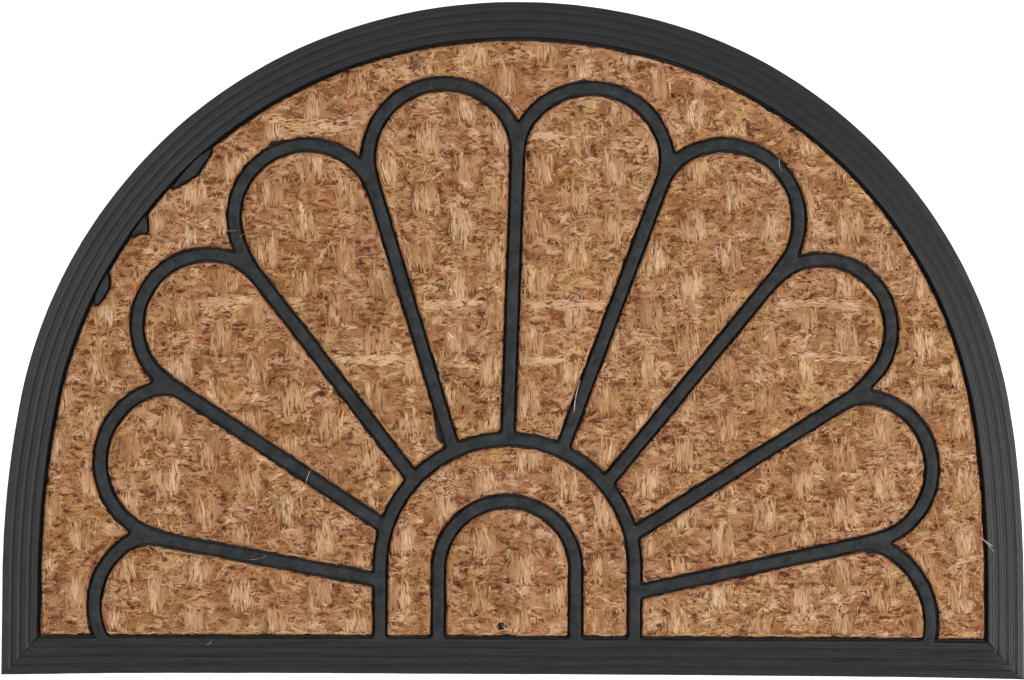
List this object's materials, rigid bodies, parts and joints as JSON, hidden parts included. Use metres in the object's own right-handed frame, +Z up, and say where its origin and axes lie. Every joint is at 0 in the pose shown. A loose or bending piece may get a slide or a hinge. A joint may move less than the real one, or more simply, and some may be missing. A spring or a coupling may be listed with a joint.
{
  "type": "doormat",
  "caption": "Half-round doormat: a rubber moulding with a ridged rim and petal-shaped ribs over a woven coir mat.",
  "frame": {"origin": "on the ground at the middle of the mat's footprint", "axes": "+X along the straight edge, +Y from the straight edge to the top of the arch, +Z up through the mat"},
  "size_m": [0.6002, 0.3956, 0.0095],
  "materials": {
    "rubber": "matte charcoal recycled rubber, moulded",
    "coir": "coarse golden-brown coir, basket weave, fuzzy"
  },
  "bodies": {
    "root": {"rubber_moulding": "rubber", "coir_matting": "coir"}
  },
  "joints": []
}
